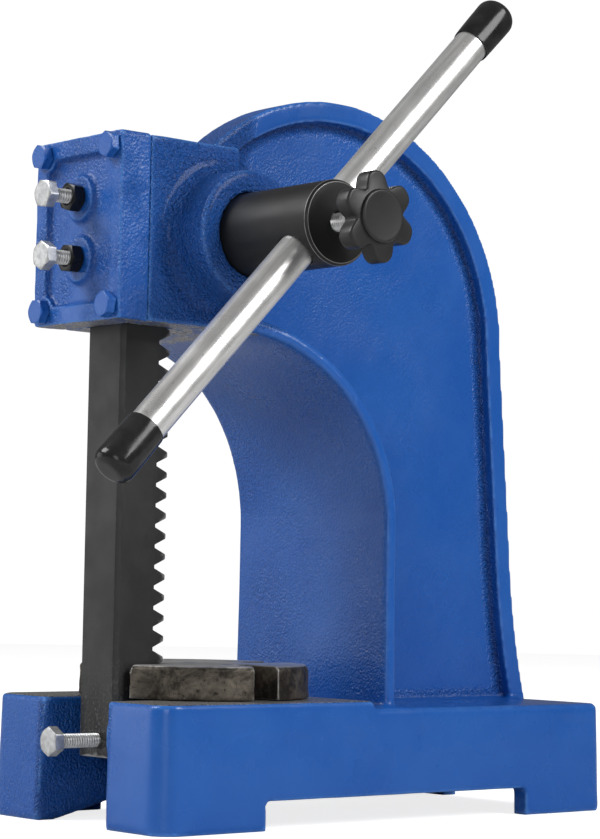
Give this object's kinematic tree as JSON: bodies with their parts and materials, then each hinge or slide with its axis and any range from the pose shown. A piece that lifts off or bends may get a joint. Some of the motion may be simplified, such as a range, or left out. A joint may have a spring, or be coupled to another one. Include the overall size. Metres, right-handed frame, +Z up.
{
  "type": "arbor press",
  "caption": "Bench arbor press: cast C-frame on a slotted hollow base, square rack ram, pinion shaft with sliding lever and star clamp knob, notched round anvil plate.",
  "frame": {"origin": "middle of the bounding box's underside, on the bench, in the rest pose; the ram's axis stands at X -0.03585, Y -0.07835", "axes": "+Z up, -Y towards the open side of the throat and the operator, +X towards the lever and its clamp knob"},
  "size_m": [0.1976, 0.3218, 0.3618],
  "materials": {
    "blue_enamel": "glossy mid-blue enamel over sand-cast grain",
    "black_oxide": "satin black oxide",
    "bright_steel": "bright plated bar",
    "zinc": "zinc plated",
    "bare_iron": "dark rough cast with a machined top",
    "black_vinyl": "glossy dipped vinyl",
    "black_plastic": "satin moulded plastic"
  },
  "bodies": {
    "frame": {"press_frame": "blue_enamel", "ram_cover": "blue_enamel", "cover_bolt_upper_left": "blue_enamel", "cover_bolt_upper_right": "blue_enamel", "cover_bolt_lower_left": "blue_enamel", "cover_bolt_lower_right": "blue_enamel", "gib_strip": "black_oxide", "gib_lock_nut_upper": "black_oxide", "gib_lock_nut_lower": "black_oxide", "anvil_pin": "black_oxide"},
    "gib_screw_upper": {"gib_screw_upper": "zinc"},
    "gib_screw_lower": {"gib_screw_lower": "zinc"},
    "ram": {"ram": "black_oxide"},
    "clamp_screw": {"tool_clamp_screw": "zinc"},
    "pinion": {"pinion_shaft": "black_oxide"},
    "lever": {"handle_bar": "bright_steel", "handle_cap_upper": "black_vinyl", "handle_cap_lower": "black_vinyl"},
    "stud": {"knob_stud": "zinc"},
    "knob": {"clamp_knob": "black_plastic"},
    "anvil": {"anvil_plate": "bare_iron"}
  },
  "joints": [
    {"name": "pinion_turn", "type": "hinge", "parent": "frame", "child": "pinion", "pos_m": [-0.03585, -0.05261, 0.25175], "axis": [-1, 0, 0], "range_deg": [-60, 595]},
    {"name": "ram_slide", "type": "slide", "parent": "frame", "child": "ram", "axis": [0, 0, 1], "range_m": [-0.0165, 0.16]},
    {"name": "handle_slide", "type": "slide", "parent": "pinion", "child": "lever", "axis": [0, 0.6997, 0.7145], "range_m": [-0.105, 0.105]},
    {"name": "stud_travel", "type": "slide", "parent": "pinion", "child": "stud", "axis": [1, 0, 0], "range_m": [0, 0.0025]},
    {"name": "knob_turn", "type": "hinge", "parent": "stud", "child": "knob", "pos_m": [0.08915, -0.05261, 0.25175], "axis": [1, 0, 0], "range_deg": [0, 720]},
    {"name": "clamp_screw_turn", "type": "hinge", "parent": "ram", "child": "clamp_screw", "pos_m": [-0.03585, -0.09821, 0.0356], "axis": [0, -1, 0], "range_deg": [0, 360]},
    {"name": "gib_screw_upper_turn", "type": "hinge", "parent": "frame", "child": "gib_screw_upper", "pos_m": [-0.03585, -0.10821, 0.2668], "axis": [0, -1, 0], "range_deg": [-60, 360]},
    {"name": "gib_screw_lower_turn", "type": "hinge", "parent": "frame", "child": "gib_screw_lower", "pos_m": [-0.03585, -0.10821, 0.2404], "axis": [0, -1, 0], "range_deg": [-60, 360]},
    {"name": "anvil_turn", "type": "hinge", "parent": "frame", "child": "anvil", "pos_m": [-0.03585, -0.03821, 0.06], "axis": [0, 0, 1], "range_deg": [-3, 3]}
  ],
  "couplings": [
    {"joint": "ram_slide", "follows": "pinion_turn", "m_per_rad": 0.0154},
    {"joint": "stud_travel", "follows": "knob_turn", "m_per_rad": 0.00019894}
  ]
}
